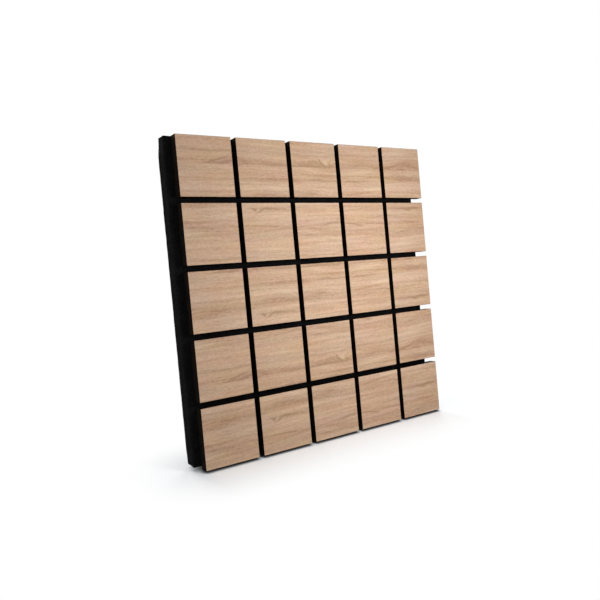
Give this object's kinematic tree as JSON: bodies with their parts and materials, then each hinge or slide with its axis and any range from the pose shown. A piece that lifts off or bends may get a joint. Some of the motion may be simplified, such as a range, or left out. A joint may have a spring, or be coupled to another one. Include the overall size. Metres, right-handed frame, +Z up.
{
  "type": "acoustic foam panel",
  "caption": "Square wall panel: a grid of light oak-decor tiles with dark sides, spaced by open grooves, glued on one black acoustic foam sheet.",
  "frame": {"origin": "centre of the foam sheet's rear face, where the panel is glued to a wall", "axes": "+Z up, front with the tiles towards -Y, rear face's outward normal +Y, +X to the right of someone who looks at the tiles"},
  "size_m": [0.616, 0.043, 0.5999],
  "materials": {
    "acoustic_foam": "matt black open-cell foam",
    "oak_decor_tile": "matt light oak decor with horizontal grain, sides dark brown to black"
  },
  "bodies": {
    "root": {"foam_sheet": "acoustic_foam", "tile_row1_column1": "oak_decor_tile", "tile_row1_column2": "oak_decor_tile", "tile_row1_column3": "oak_decor_tile", "tile_row1_column4": "oak_decor_tile", "tile_row1_column5": "oak_decor_tile", "tile_row2_column1": "oak_decor_tile", "tile_row2_column2": "oak_decor_tile", "tile_row2_column3": "oak_decor_tile", "tile_row2_column4": "oak_decor_tile", "tile_row2_column5": "oak_decor_tile", "tile_row3_column1": "oak_decor_tile", "tile_row3_column2": "oak_decor_tile", "tile_row3_column3": "oak_decor_tile", "tile_row3_column4": "oak_decor_tile", "tile_row3_column5": "oak_decor_tile", "tile_row4_column1": "oak_decor_tile", "tile_row4_column2": "oak_decor_tile", "tile_row4_column3": "oak_decor_tile", "tile_row4_column4": "oak_decor_tile", "tile_row4_column5": "oak_decor_tile", "tile_row5_column1": "oak_decor_tile", "tile_row5_column2": "oak_decor_tile", "tile_row5_column3": "oak_decor_tile", "tile_row5_column4": "oak_decor_tile", "tile_row5_column5": "oak_decor_tile"}
  },
  "joints": []
}
